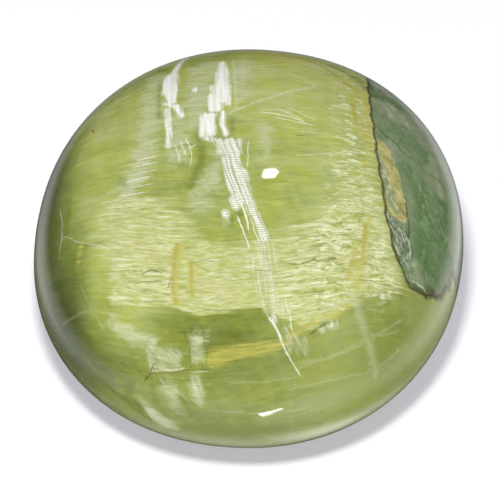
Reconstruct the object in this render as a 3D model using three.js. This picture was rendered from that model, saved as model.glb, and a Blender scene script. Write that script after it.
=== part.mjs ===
// An oval cabochon of fibrous green opal with its host rock along one side, cut and polished as one stone.
// Millimetres, +Z up. X runs across the stone and Y along it.
// The origin is the middle of the flat base, on the surface that the stone rests on.

import * as THREE from "three";

// Driving dimensions
const WIDTH = 12.2;
const LENGTH = 13.6;
const HEIGHT = 6.9;
const GIRDLE_HEIGHT = 2.9; // the widest level, from which the dome rises and the flank turns under
const BASE_SHARE = 0.62; // the flat base's width as a share of the stone's
const EASED_EDGE = 0.35; // how far the round between base and flank reaches along each of them

// How full the curves are: 2 is an ellipse, and more is fuller
const PLAN_FULLNESS = 2.12;
const DOME_FULLNESS = 2.32;

// How finely the surface is faceted
const TURNS = 80;
const DOME_STEPS = 20;
const FLANK_STEPS = 6;
const EASE_STEPS = 3;
const BASE_STEPS = 2;

const OPAL_GREEN = "#a3ab5c";
const POLISH_ROUGHNESS = 0.12;

const MEAN_RADIUS = (WIDTH + LENGTH) / 4;
const QUARTER_TURN = Math.PI / 2;

// The profile is drawn as radius share against height: 0 is the stone's axis and 1 its girdle.

// A point of the dome. The angle is 0 at the girdle and a quarter turn at the crown.
function domePoint(angle) {
  const rise = HEIGHT - GIRDLE_HEIGHT;
  const radius = Math.cos(angle) ** (2 / DOME_FULLNESS);
  return new THREE.Vector2(radius, GIRDLE_HEIGHT + rise * Math.sin(angle) ** (2 / DOME_FULLNESS));
}

// A point of the flank, an ellipse that the flat base cuts off. The angle is 0 at the girdle.
function flankPoint(angle) {
  const depth = GIRDLE_HEIGHT / Math.sqrt(1 - BASE_SHARE ** 2);
  return new THREE.Vector2(Math.cos(angle), GIRDLE_HEIGHT - depth * Math.sin(angle));
}

// The whole profile, from the middle of the base, out and up to the crown.
function stoneProfile() {
  const ease = EASED_EDGE / MEAN_RADIUS;
  const easeEnd = Math.acos(BASE_SHARE + ease);
  const roundStart = new THREE.Vector2(BASE_SHARE - ease, 0);
  const corner = new THREE.Vector2(BASE_SHARE, 0);
  const eased = new THREE.QuadraticBezierCurve(roundStart, corner, flankPoint(easeEnd));

  const points = [];
  for (let step = 0; step < BASE_STEPS; step += 1) {
    points.push(new THREE.Vector2((roundStart.x * step) / BASE_STEPS, 0));
  }
  points.push(...eased.getPoints(EASE_STEPS));
  for (let step = FLANK_STEPS - 1; step > 0; step -= 1) {
    points.push(flankPoint((easeEnd * step) / FLANK_STEPS));
  }
  for (let step = 0; step < DOME_STEPS; step += 1) {
    points.push(domePoint((QUARTER_TURN * step) / DOME_STEPS));
  }
  points.push(new THREE.Vector2(0, HEIGHT));
  return points;
}

// The stone's radius in plan, in the direction of an angle from +X.
function planRadius(angle) {
  const across = Math.abs(Math.cos(angle) / (WIDTH / 2)) ** PLAN_FULLNESS;
  const along = Math.abs(Math.sin(angle) / (LENGTH / 2)) ** PLAN_FULLNESS;
  return (across + along) ** (-1 / PLAN_FULLNESS);
}

// Turns the profile into a round stone of radius 1, then draws it out to the oval plan.
function stoneGeometry() {
  const geometry = new THREE.LatheGeometry(stoneProfile(), TURNS);
  geometry.rotateX(QUARTER_TURN);
  const position = geometry.getAttribute("position");
  for (let index = 0; index < position.count; index += 1) {
    const x = position.getX(index);
    const y = position.getY(index);
    const radius = planRadius(Math.atan2(y, x));
    position.setXY(index, x * radius, y * radius);
  }
  geometry.computeVertexNormals();
  return geometry;
}

const polishedOpal = new THREE.MeshStandardMaterial({
  name: "polished opal",
  color: OPAL_GREEN,
  roughness: POLISH_ROUGHNESS,
  metalness: 0,
});

const stone = new THREE.Mesh(stoneGeometry(), polishedOpal);
stone.name = "opal_cabochon";

const cabochon = new THREE.Group();
cabochon.add(stone);

export default cabochon;
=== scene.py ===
import math

import bmesh
import bpy
import numpy as np
from bpy.props import FloatProperty, FloatVectorProperty, IntProperty, PointerProperty
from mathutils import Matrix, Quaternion, Vector


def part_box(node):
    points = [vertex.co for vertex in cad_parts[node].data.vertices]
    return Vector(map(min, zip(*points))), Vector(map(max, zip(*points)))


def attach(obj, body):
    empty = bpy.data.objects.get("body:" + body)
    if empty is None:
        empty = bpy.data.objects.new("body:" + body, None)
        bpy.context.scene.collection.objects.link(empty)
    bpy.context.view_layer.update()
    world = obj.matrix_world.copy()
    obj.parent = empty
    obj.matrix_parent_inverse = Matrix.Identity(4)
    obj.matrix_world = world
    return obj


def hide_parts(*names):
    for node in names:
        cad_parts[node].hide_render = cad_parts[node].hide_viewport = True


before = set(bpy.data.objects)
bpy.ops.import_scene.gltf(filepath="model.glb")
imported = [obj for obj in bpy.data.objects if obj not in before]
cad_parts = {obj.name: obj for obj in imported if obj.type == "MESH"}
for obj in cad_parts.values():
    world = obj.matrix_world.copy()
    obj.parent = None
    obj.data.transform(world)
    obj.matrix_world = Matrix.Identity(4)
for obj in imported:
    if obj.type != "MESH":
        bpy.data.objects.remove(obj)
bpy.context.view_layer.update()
STONE_LOW, STONE_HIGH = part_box("opal_cabochon")

bl_info = {
    "name": "Oval Opal Cabochon",
    "version": (1, 0, 0),
    "blender": (4, 5, 0),
    "location": "3D View > Sidebar > Cabochon",
    "description": "Models a polished oval cabochon of fibrous green opal with its host rock",
    "category": "Add Mesh",
}

MM = 0.001


def linear(shade):
    """The linear red, green and blue of an sRGB hex colour such as #a3ab5c."""
    levels = [int(shade[place:place + 2], 16) / 255 for place in (1, 3, 5)]
    return tuple(level / 12.92 if level <= 0.04045 else ((level + 0.055) / 1.055) ** 2.4 for level in levels)


# The markings, read off the stone.
# Their places are in millimetres on a chart that lies over the dome as a tape would: its middle is the
# crown, x runs across the stone, y along it, and distances from the crown follow the curve.
# A stroke is (half width at its start, half width at its end, places along it).

# Bright white silk: the long streak down the middle, the shorter one left of it, and their splinters. Their
# white is partly the fibres' own pale colour and partly their cat's-eye sheen, painted in
SILK_AND_SHEEN = (
    (0.07, 0.12, ((-1.29, 4.17), (-1.19, 3.51))),
    (0.15, 0.20, ((-1.19, 3.51), (-1.10, 2.86), (-1.03, 2.19))),
    (0.06, 0.06, ((-0.94, 2.76), (-0.84, 1.93))),
    (0.16, 0.20, ((-1.27, 2.29), (-1.17, 1.80))),
    (0.04, 0.04, ((-1.37, 2.77), (-1.28, 2.33))),
    (0.09, 0.09, ((-1.44, 1.47), (-1.18, 1.46))),
    (0.09, 0.09, ((-1.46, 1.35), (-1.42, 0.66))),
    (0.13, 0.13, ((-1.26, 1.30), (-1.20, 0.74))),
    (0.07, 0.07, ((-1.32, 0.54), (-1.07, 0.50))),
    (0.05, 0.06, ((-0.93, 1.59), (-0.88, 1.10), (-0.75, 0.71))),
    (0.10, 0.11, ((-0.91, 0.43), (-0.83, 0.03))),
    (0.18, 0.20, ((-0.58, 0.37), (-0.48, -0.07))),
    (0.05, 0.05, ((-0.35, 0.50), (-0.28, 0.04))),
    (0.22, 0.23, ((-0.51, -0.23), (-0.29, -0.72))),
    (0.18, 0.17, ((-0.16, -0.70), (-0.06, -1.12))),
    (0.20, 0.19, ((-0.37, -0.73), (-0.22, -1.21))),
    (0.19, 0.14, ((-0.17, -1.27), (-0.02, -1.61))),
    (0.12, 0.11, ((0.05, -1.25), (0.18, -1.65))),
    (0.13, 0.09, ((-0.17, -1.62), (-0.08, -1.92))),
    (0.07, 0.06, ((0.26, -1.67), (0.39, -2.03))),
    (0.08, 0.08, ((0.47, -2.12), (0.64, -2.46), (0.80, -2.81))),
    (0.07, 0.07, ((-0.37, -2.12), (-0.34, -2.22))),
    (0.07, 0.04, ((1.33, -5.10), (1.38, -5.16))),
    (0.05, 0.09, ((-2.50, 5.0), (-2.60, 4.10), (-2.66, 3.60))),
    (0.18, 0.23, ((-2.68, 3.60), (-2.62, 2.73))),
    (0.20, 0.13, ((-2.60, 2.73), (-2.52, 2.20))),
    (0.06, 0.05, ((-2.70, 2.12), (-2.40, 1.93))),
    (0.09, 0.07, ((-2.33, 1.90), (-2.14, 1.52))),
    (0.07, 0.06, ((-2.60, 1.85), (-2.54, 1.10))),
    (0.07, 0.05, ((-2.50, 1.00), (-2.46, 0.20))),
    (0.05, 0.05, ((-1.88, 2.71), (-1.86, 2.61))),
    (0.01, -0.02, ((1.32, -5.06), (1.52, -5.42), (1.67, -5.67))),
    (-0.02, -0.04, ((1.62, -5.60), (1.87, -5.94), (2.09, -6.18), (2.40, -6.50))),
)

# Pale gauze that carries the long streak on over the cream zone, block after block, with the same painted
# sheen over the fibres' pale colour
GAUZE_AND_SHEEN = (
    (0.17, 0.17, ((0.76, -2.98), (0.84, -3.00))),
    (0.21, 0.21, ((0.88, -3.27), (0.96, -3.71))),
    (0.07, 0.07, ((0.57, -3.44), (0.62, -3.76))),
    (0.17, 0.17, ((0.99, -3.89), (1.09, -4.25))),
    (0.07, 0.07, ((0.77, -3.89), (0.86, -4.34))),
    (0.18, 0.18, ((1.20, -4.60), (1.26, -4.85))),
    (0.07, 0.07, ((1.63, -4.59), (1.68, -4.81))),
    (0.06, 0.06, ((-0.31, -2.28), (-0.27, -2.54))),
    (0.05, 0.04, ((1.78, -5.30), (1.98, -5.85))),
    (0.06, 0.03, ((2.05, -5.55), (2.22, -5.95))),
    (0.04, 0.02, ((2.32, -5.50), (2.45, -5.85))),
    (0.10, 0.10, ((-0.70, -7.00), (-0.62, -7.75))),
    (0.12, 0.12, ((-1.50, -6.40), (-1.30, -6.40))),
    (0.06, 0.08, ((-2.14, -6.22), (-2.07, -6.67))),
    (0.05, 0.08, ((2.72, -5.15), (2.90, -5.06), (3.12, -4.93))),
)

# Soft pale green-grey patches, where the silk lies deeper
VEIL = (
    (0.25, 0.30, ((-3.2, 3.6), (-3.15, 2.2))),
    (0.30, 0.36, ((-3.1, 2.2), (-3.1, 0.9), (-3.2, 0.0))),
    (0.30, 0.30, ((-3.15, 0.0), (-3.3, -0.9), (-3.4, -1.6))),
    (0.25, 0.25, ((-2.2, 1.2), (-2.2, -0.3))),
    (0.20, 0.28, ((-1.15, -1.1), (-1.1, -1.9))),
    (0.22, 0.18, ((-0.9, -0.3), (-0.8, -1.2))),
    (0.40, 0.30, ((-1.75, 3.8), (-1.7, 1.2))),
    (0.25, 0.20, ((-0.65, 4.1), (-0.5, 2.4))),
    (0.20, 0.16, ((0.3, 1.1), (0.5, 0.0))),
    (0.14, 0.17, ((-3.35, -5.3), (-2.62, -5.88), (-2.17, -6.03))),
    (0.09, 0.09, ((-1.83, -6.33), (-1.77, -6.61))),
    (0.14, 0.14, ((-1.64, -6.41), (-1.33, -6.40))),
    (0.16, 0.16, ((-0.72, -5.8), (-0.7, -6.4))),
    (0.15, 0.15, ((-1.6, -7.2), (-1.4, -7.9))),
    (0.13, 0.12, ((-0.65, -7.0), (-0.60, -7.7))),
)

# Crisp cream flecks that the polish cuts through
CHALK = (
    (-0.01, 0.02, ((2.76, -5.17), (2.92, -5.08), (3.12, -4.95))),
    (0.01, 0.01, ((5.58, -4.98), (5.62, -4.95))),
    (0.01, 0.01, ((5.04, -4.00), (5.08, -3.97))),
    (0.00, 0.01, ((3.16, -4.49), (3.31, -4.40), (3.35, -4.48))),
)

# Yellow iron stain, soft in the body and sharper along the veins
YELLOW = (
    (0.16, 0.14, ((-0.4, 5.05), (0.4, 5.05), (1.05, 4.9))),
    (0.11, 0.12, ((2.05, 4.00), (2.50, 3.76), (2.78, 3.53))),
    (0.10, 0.11, ((2.47, 3.40), (2.69, 2.48), (3.08, 1.81), (3.40, 1.44))),
    (0.10, 0.10, ((2.85, 3.70), (3.08, 2.80), (3.30, 2.00))),
    (0.05, 0.04, ((3.40, 1.44), (3.48, 0.90), (3.52, 0.30))),
    (0.08, 0.14, ((3.78, -1.5), (3.72, -2.35), (3.68, -3.1), (3.6, -3.7))),
    (0.12, 0.08, ((3.45, -2.6), (3.35, -3.5))),
    (0.09, 0.07, ((-1.45, -3.28), (-1.47, -3.76), (-1.45, -4.51), (-1.35, -4.89))),
    (0.07, 0.06, ((-1.11, -3.74), (-1.02, -4.26), (-0.95, -4.71))),
    (0.20, 0.20, ((-0.25, -6.40), (0.3, -6.2), (1.1, -5.95))),
    (0.16, 0.05, ((1.1, -5.95), (1.5, -5.85), (1.9, -5.6))),
    (0.06, 0.06, ((1.9, -5.45), (2.4, -5.05), (3.0, -4.70))),
    (0.07, 0.04, ((3.0, -4.70), (3.4, -4.35), (3.8, -4.05))),
    (0.05, 0.03, ((-4.7, -3.0), (-4.75, -3.6))),
    (0.06, 0.04, ((-5.0, 1.8), (-5.35, 0.9), (-5.45, 0.2))),
)

# Orange-brown stain at the heart of the yellow
ORANGE = (
    (0.02, 0.05, ((0.30, 5.12), (1.00, 4.95), (1.49, 4.66), (1.97, 4.22))),
    (0.05, 0.04, ((-1.55, -3.25), (-1.57, -3.76), (-1.54, -4.51), (-1.40, -4.89))),
    (0.03, 0.02, ((-1.10, -3.70), (-1.02, -4.26), (-0.95, -4.71))),
    (0.05, 0.04, ((2.20, 3.95), (2.50, 3.72))),
    (0.04, 0.03, ((2.60, 2.90), (2.80, 2.20))),
    (0.06, 0.05, ((3.7, -1.8), (3.68, -2.6))),
    (0.05, 0.03, ((2.3, -5.15), (2.5, -4.95))),
)

# Brownish blush in the cream zone and along the top
BLUSH = (
    (0.16, 0.18, ((0.20, 4.90), (0.90, 4.80), (1.50, 4.50))),
    (0.34, 0.30, ((-2.64, -3.18), (-2.36, -3.86), (-2.18, -4.43))),
    (0.22, 0.20, ((-0.47, -4.46), (0.25, -4.51))),
    (0.20, 0.20, ((2.90, -3.05), (3.50, -3.35))),
)

# Deep olive places, where the fibres part and the eye looks into the stone
DEEP = (
    (0.03, 0.03, ((-3.99, -2.20), (-3.00, -2.10), (-2.10, -1.99))),
    (0.05, 0.03, ((-4.56, -3.08), (-3.13, -3.10), (-2.38, -2.91), (-1.85, -2.84))),
    (0.10, 0.12, ((-3.2, 4.3), (-2.95, 4.15))),
    (0.09, 0.10, ((1.70, 4.98), (2.17, 4.74), (2.59, 4.46), (2.85, 4.07))),
    (0.03, 0.04, ((-3.0, 3.3), (-2.85, 1.5))),
    (0.09, 0.07, ((-0.64, 1.31), (-0.56, 0.87))),
    (0.11, 0.12, ((-1.42, 0.24), (-1.36, -0.35), (-1.45, -1.3))),
    (0.05, 0.05, ((-1.65, 0.94), (-1.49, 0.03))),
    (0.10, 0.09, ((-0.03, -2.08), (0.05, -2.14))),
    (0.06, 0.06, ((-0.17, -2.26), (-0.14, -2.55))),
    (0.10, 0.11, ((-5.58, -1.16), (-5.48, -1.75), (-5.41, -2.40))),
    (0.16, 0.14, ((-5.30, -2.9), (-5.0, -3.8))),
    (0.13, 0.04, ((-4.6, -4.2), (-4.25, -4.8))),
    (0.08, 0.12, ((-0.6, -5.12), (0.3, -5.18), (1.21, -5.08))),
    (0.06, 0.05, ((1.39, -4.94), (1.52, -4.89))),
    (0.09, 0.09, ((-1.0, -5.35), (-0.75, -5.4))),
    (0.07, 0.10, ((-2.15, -7.32), (-2.11, -7.83))),
    (0.04, 0.05, ((-1.22, -7.57), (-1.02, -7.97), (-0.91, -8.23))),
    # the next is painted shade, the dark edge beside the painted reflection low at the left
    (0.12, 0.16, ((-2.9, -7.2), (-3.3, -7.7))),
    (0.06, 0.12, ((-4.80, -6.20), (-4.20, -7.00), (-3.54, -7.72), (-2.92, -8.25))),
    (0.07, 0.07, ((2.52, -5.30), (2.62, -5.20))),
    (0.06, 0.06, ((2.55, -3.9), (3.1, -3.6))),
    (0.06, 0.05, ((1.85, -2.35), (2.2, -2.25))),
)

# Thin lines are (half width, strength, places along it). Neighbours run opposite ways, which keeps
# their sides apart
THREADS = (
    (0.030, 1.0, ((0.03, -1.77), (0.18, -2.09), (0.33, -2.60))),
    (0.022, 0.9, ((0.40, -3.12), (0.17, -2.59), (-0.01, -2.25))),
    (0.022, 0.7, ((0.67, -2.90), (0.50, -2.64), (0.34, -2.24))),
    (0.022, 0.7, ((0.29, -2.11), (0.15, -1.83))),
    (0.030, 0.7, ((1.33, -5.11), (1.52, -5.42), (1.67, -5.67))),
    (0.030, 0.6, ((1.67, -5.67), (1.87, -5.94), (2.09, -6.18), (2.36, -6.45))),
    (0.022, 0.6, ((1.92, -5.27), (1.84, -5.09), (1.76, -4.82))),
    (0.025, 0.6, ((-2.03, -0.39), (-2.24, 0.20))),
    (0.030, 0.7, ((-2.07, 0.32), (-1.90, -0.10))),
    (0.030, 0.8, ((-1.67, 0.24), (-1.78, 0.15), (-1.93, 0.45))),
    (0.025, 0.6, ((-1.66, -0.55), (-1.70, -0.19), (-1.78, 0.15))),
    (0.018, 0.7, ((-0.07, 0.44), (0.02, -0.42))),
    (0.025, 0.5, ((0.14, 1.82), (0.84, 1.91))),
    (0.025, 0.6, ((0.73, 1.84), (1.22, 1.68))),
    (0.025, 0.7, ((1.35, 1.58), (0.80, 1.68), (0.15, 1.70))),
    (0.022, 0.6, ((0.60, 1.55), (1.10, 1.50), (1.60, 1.52))),
    (0.022, 0.5, ((1.60, 1.80), (1.30, 1.84), (0.95, 2.00))),
    (0.018, 0.5, ((1.32, 1.16), (1.97, 1.27))),
    (0.018, 0.4, ((1.41, 0.19), (2.38, 0.54))),
    (0.025, 0.8, ((-3.30, -0.28), (-2.77, -0.16))),
    (0.025, 0.7, ((-2.74, -0.42), (-3.31, -0.55))),
    (0.022, 0.7, ((-3.15, -0.80), (-2.70, -0.72))),
    (0.025, 0.7, ((-2.85, -0.98), (-3.45, -1.10))),
    (0.022, 0.6, ((-3.30, -1.34), (-2.75, -1.28))),
    (0.025, 0.7, ((-2.90, -1.56), (-3.60, -1.62))),
    (0.020, 0.3, ((-5.48, -2.48), (-4.82, -2.89), (-3.59, -3.30), (-2.31, -3.36))),
    (0.020, 0.4, ((-5.88, -1.39), (-5.65, -2.04), (-5.60, -2.57), (-5.62, -3.00))),
    (0.025, 0.2, ((-0.78, -6.79), (-0.33, -6.76))),
)

# Faint wide pale ones: five high on the dome, two of them meeting in a V, and below them healed cracks and
# films, which lie deeper
FILMS = (
    (0.06, 0.55, ((-0.76, 1.55), (-0.09, 2.09), (0.66, 2.70), (1.43, 3.26))),
    (0.05, 0.40, ((-0.98, 3.63), (-0.04, 3.87), (0.67, 3.74), (1.42, 3.32))),
    (0.05, 0.30, ((-1.51, 3.42), (-0.33, 3.95), (1.28, 4.70))),
    (0.06, 0.50, ((-0.99, 4.31), (-0.58, 1.90))),
    (0.03, 0.30, ((-0.55, 3.10), (-0.74, 4.32))),
    (0.19, 0.28, ((3.54, -4.00), (4.14, -4.92), (4.98, -5.84))),
    (0.05, 0.20, ((2.33, -6.14), (3.22, -5.86), (4.10, -5.28), (5.35, -4.15))),
    (0.05, 0.18, ((5.32, -4.52), (4.21, -5.05), (3.50, -5.62), (2.34, -6.30))),
    (0.05, 0.18, ((2.21, -6.96), (3.42, -6.47), (4.79, -5.92), (5.75, -4.93))),
    (0.05, 0.18, ((0.2, -7.0), (1.2, -6.9), (2.2, -6.6))),
    (0.06, 0.15, ((-0.2, -8.0), (1.6, -7.9), (2.9, -7.5))),
    (0.05, 0.20, ((-5.2, 2.6), (-4.2, 2.9), (-3.2, 3.6))),
    (0.06, 0.14, ((-5.5, -5.15), (-4.4, -5.0), (-3.65, -5.1))),
    (0.06, 0.14, ((-3.7, -5.55), (-4.1, -5.0), (-4.55, -4.3))),
    (0.06, 0.30, ((-1.84, -7.02), (-1.64, -7.43), (-1.46, -7.62))),
    (0.05, 0.25, ((-1.06, -7.62), (-1.37, -7.38))),
)

# Fine dark lines: grain partings and the edges of flaws
LINES = (
    (0.030, 1.0, ((-2.42, -4.09), (-2.22, -4.01), (-1.98, -4.03))),
    (0.018, 0.6, ((-3.0, -4.0), (-2.5, -4.02))),
    (0.018, 0.8, ((-1.0, -3.74), (-0.75, -3.66), (-0.5, -3.68))),
    (0.025, 0.9, ((-1.62, -4.33), (-1.66, -4.45))),
    (0.018, 0.6, ((-2.6, -4.35), (-1.9, -4.3))),
    (0.018, 0.6, ((-1.95, -4.62), (-2.35, -4.6))),
    (0.018, 0.7, ((0.70, -3.81), (1.13, -3.75))),
    (0.020, 0.8, ((1.24, 0.98), (1.47, 1.04))),
    (0.030, 0.9, ((1.9, -3.42), (2.1, -3.35), (2.28, -3.22))),
    (0.020, 0.9, ((2.65, -3.15), (2.9, -3.1))),
    (0.020, 0.8, ((2.3, -2.85), (2.42, -2.8))),
    (0.018, 0.9, ((1.5, -3.5), (1.85, -3.45))),
    (0.018, 0.8, ((3.75, -3.0), (3.9, -2.95))),
    (0.025, 0.6, ((-0.6, -5.08), (0.2, -5.02), (0.9, -4.9))),
    (0.025, 0.6, ((-1.09, -5.68), (-0.95, -6.06), (-0.88, -6.52))),
    (0.020, 0.5, ((-0.40, -6.58), (-0.42, -6.17), (-0.54, -5.76))),
    (0.050, 0.9, ((2.54, -5.24), (2.64, -5.12), (2.85, -4.98))),
    (0.020, 0.8, ((-2.06, -6.89), (-1.50, -6.85), (-1.06, -6.76), (-0.33, -6.70))),
    (0.045, 0.9, ((-2.32, -7.04), (-2.16, -6.88), (-2.07, -6.70))),
    (0.070, 0.5, ((-4.16, -7.24), (-3.47, -7.67), (-2.97, -7.98), (-2.82, -8.38))),
    (0.060, 0.6, ((-3.0, -7.75), (-2.7, -8.15), (-2.6, -8.6))),
    (0.050, 0.9, ((-5.12, 1.78), (-5.08, 1.70))),
)
TAN = ((0.045, 0.9, ((-2.05, -6.80), (-1.49, -6.78), (-1.10, -6.71))),)

# The cream fibrous zone across the middle, a pale wedge low at the left that is a painted reflection of the
# floor in a shallow hollow, and the crinkled flecks at the seam
CREAM_OUTLINE = (
    (-4.2, -1.8), (-3.6, -1.65), (-2.6, -1.75), (-1.95, -1.95), (-1.5, -2.35), (-1.15, -2.85),
    (-0.6, -3.2), (0.1, -3.2), (0.75, -2.9), (1.5, -2.5), (2.15, -1.9), (2.9, -1.0), (3.5, 0.2),
    (4.1, -0.9), (4.7, -2.3), (5.1, -3.4), (4.65, -3.55), (3.8, -3.95), (3.2, -4.55), (2.4, -5.2),
    (0.9, -4.85), (0.0, -5.1), (-0.7, -5.2), (-1.25, -5.08), (-1.6, -4.95), (-2.45, -5.0), (-3.35, -4.9),
    (-3.5, -4.25), (-3.7, -3.35), (-4.1, -2.5),
)
REFLECTION_WEDGE_OUTLINE = ((-2.75, -7.75), (-2.25, -8.1), (-1.6, -8.6), (-1.5, -8.95), (-2.2, -8.9), (-2.55, -8.4))
CRINKLE = (
    (0.35, 0.60, ((2.3, 4.2), (2.6, 3.0), (2.9, 1.6))),
    (0.60, 0.75, ((2.9, 1.6), (3.1, 0.2), (3.3, -1.2))),
    (0.75, 0.80, ((3.3, -1.2), (3.0, -2.6), (2.6, -3.6))),
    (0.60, 0.70, ((3.3, -1.2), (3.9, -2.6), (4.2, -3.3))),
)

# Tone of the body: (chart place, reach across, reach along, how much paler or deeper), 1 is the palest
BODY_TONE = 0.60
TONE_CLOUDS = (
    ((0.4, 3.2), 3.6, 2.6, 0.24),
    ((2.6, 0.2), 2.2, 3.0, 0.10),
    ((0.0, -2.6), 4.0, 2.0, 0.06),
    ((-3.8, 1.2), 1.8, 2.6, 0.12),
    ((-5.0, 0.6), 0.9, 2.0, 0.12),
    ((-4.0, -3.9), 0.6, 1.7, 0.28),
    ((-4.9, -3.4), 0.5, 1.0, -0.08),
    ((-5.8, -2.2), 0.6, 1.5, -0.12),
    ((-3.0, -5.5), 1.0, 0.7, 0.26),
    # The next, a deep band down the left girdle, is partly the opal's own deeper olive and partly painted
    # shade, the darkness seen through the stone's thin edge
    ((-6.8, 0.0), 1.1, 5.5, -0.56),
    ((-9.0, -0.5), 1.3, 5.0, -0.28),
    ((-5.5, -4.9), 1.4, 1.7, -0.45),
    ((-4.4, -6.6), 1.8, 1.5, -0.34),
    ((0.2, -5.7), 2.1, 0.8, -0.26),
    ((5.2, -4.6), 1.6, 1.8, -0.18),
    ((-0.2, 5.9), 4.5, 0.8, -0.10),
    ((1.0, 4.8), 0.9, 0.3, 0.20),
    ((0.4, -8.8), 3.5, 1.1, -0.24),
    ((1.0, -7.0), 2.6, 0.8, -0.12),
)

# Where the body turns milky with haze: (chart place, reach across, reach along, share of haze)
MILK_CLOUDS = (
    ((0.4, -8.4), 3.4, 1.1, 0.17),
    ((3.4, -6.8), 1.4, 1.2, 0.17),
    ((5.9, -4.2), 0.8, 1.2, 0.08),
    ((0.6, 2.6), 3.0, 2.4, 0.08),
    ((-3.0, 2.3), 0.6, 1.0, 0.12),
)

# Where the fibres run into the stone or lie deep in it, and so show less: (chart place, reach across, reach
# along, share that is lost)
CALM_CLOUDS = (
    ((-7.6, -1.0), 1.9, 7.0, 0.9),
    ((7.8, -1.0), 1.9, 7.0, 0.9),
    ((4.4, -6.0), 2.2, 1.7, 0.75),
    ((-4.9, -5.8), 1.4, 1.6, 0.6),
    ((0.5, -9.2), 5.0, 1.2, 0.5),
)

# Places in the host rock are in plan, in millimetres from the stone's axis, and go down through it
ROCK_OUTLINE = (
    (2.55, 6.4), (2.71, 5.39), (2.93, 4.0), (3.09, 3.15), (3.23, 2.43), (3.37, 1.78), (3.5, 1.17),
    (3.63, 0.6), (3.78, 0.07), (3.9, -0.45), (4.01, -0.95), (4.16, -1.41), (4.33, -1.91), (4.52, -2.33),
    (4.73, -2.57), (4.95, -2.78), (5.15, -2.73), (5.35, -2.6), (5.6, -2.3), (5.8, -1.85), (6.0, -0.9),
    (9.0, 0.0), (9.0, 9.0), (2.5, 9.0),
)
LENS_OUTLINE = (
    (3.41, 1.7), (3.62, 1.65), (3.82, 1.37), (4.0, 1.04), (4.19, 0.66), (4.29, 0.31), (4.43, -0.11),
    (4.57, -0.58), (4.59, -1.01), (4.4, -1.11), (4.16, -1.01), (4.03, -0.87), (3.94, -0.62),
    (3.81, -0.23), (3.73, 0.21), (3.58, 0.78), (3.45, 1.36),
)
LENS_HEART = (
    (0.07, 0.15, ((3.55, 1.15), (3.72, 0.45), (3.95, -0.10))),
    (0.15, 0.09, ((3.95, -0.10), (4.15, -0.50), (4.30, -0.80))),
)
STRIP_OUTLINE = (
    (4.01, -0.95), (4.23, -1.04), (4.47, -1.17), (4.67, -0.95), (4.78, -1.33), (4.86, -1.76),
    (4.93, -2.08), (5.05, -2.36), (5.21, -2.51), (5.01, -2.75), (4.77, -2.68), (4.57, -2.45),
    (4.35, -2.06), (4.17, -1.57),
)
# Its dark cracks and pale crystals are thin lines, and its other markings are strokes
CRACKS = (
    (0.050, 0.9, ((3.30, 2.32), (3.50, 2.10), (3.70, 1.94))),
    (0.035, 0.7, ((3.70, 1.94), (4.00, 1.78), (4.35, 1.50), (4.70, 1.46))),
    (0.030, 0.5, ((4.70, 1.46), (4.93, 1.24), (5.29, 1.40))),
    (0.030, 0.9, ((4.45, -0.10), (4.56, -0.50), (4.66, -0.88), (4.76, -1.44), (4.88, -1.94))),
    (0.045, 0.9, ((3.41, 1.70), (3.52, 1.00), (3.75, 0.25), (3.92, -0.40), (4.05, -0.95))),
    (0.060, 0.9, ((4.60, -2.42), (4.36, -1.90), (4.18, -1.42), (4.05, -1.00))),
    (0.070, 0.8, ((4.85, -2.66), (5.10, -2.68), (5.35, -2.55), (5.60, -2.22))),
)
CRYSTALS = (
    (0.018, 0.9, ((4.08, -1.02), (4.16, -1.19))),
    (0.015, 0.8, ((4.28, -1.50), (4.14, -1.31))),
    (0.018, 0.9, ((4.52, -1.38), (4.64, -1.66))),
    (0.020, 0.9, ((4.83, -1.98), (4.78, -1.60), (4.64, -1.40))),
    (0.018, 0.8, ((4.40, -1.90), (4.55, -2.10))),
    (0.040, 0.6, ((5.10, -2.54), (5.30, -2.50))),
    (0.015, 0.4, ((4.95, 0.37), (5.10, 0.05), (5.25, -0.22))),
)
DARK_ROCK = (
    (0.07, 0.07, ((2.82, 4.95), (2.99, 3.77), (3.40, 3.75))),
    (0.03, 0.02, ((3.40, 3.75), (3.64, 3.65), (4.00, 3.70), (4.43, 3.32))),
    (0.06, 0.08, ((4.55, -2.40), (4.75, -2.62), (5.00, -2.74))),
    (0.10, 0.07, ((5.10, -2.68), (5.35, -2.55), (5.62, -2.20))),
)
EMERALD = (
    (0.20, 0.29, ((4.75, 0.56), (5.06, -0.35), (5.19, -1.46), (5.30, -1.90))),
    (0.16, 0.18, ((5.45, 0.93), (5.60, -0.83))),
    (0.11, 0.11, ((3.78, 2.20), (4.00, 2.07))),
    (0.14, 0.14, ((4.46, 2.10), (4.80, 1.87))),
    (0.12, 0.14, ((4.36, 0.90), (4.70, 0.50))),
)
PALE_ROCK = (
    (0.11, 0.11, ((3.14, 4.68), (3.43, 4.21))),
    (0.22, 0.22, ((3.45, 3.50), (3.90, 3.00))),
    (0.24, 0.24, ((4.20, 3.50), (4.72, 2.60))),
    (0.20, 0.20, ((5.00, 2.60), (5.30, 1.80))),
    (0.07, 0.07, ((3.76, 1.65), (4.03, 1.06))),
    (0.12, 0.12, ((5.10, 1.60), (5.40, 1.00))),
    (0.06, 0.08, ((5.00, -2.00), (5.13, -2.40))),
)
RUST_ROCK = (
    (0.11, 0.11, ((3.14, 3.49), (3.42, 3.06))),
    (0.06, 0.06, ((3.54, 3.23), (3.70, 2.89))),
    (0.08, 0.08, ((5.22, 1.24), (5.42, 1.07))),
)


# How many places the profile is worked out at on the dome, the flank, the eased edge and the base
DOME_PLACES, FLANK_PLACES, EASE_PLACES, BASE_PLACES = 2000, 1000, 40, 200


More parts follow.
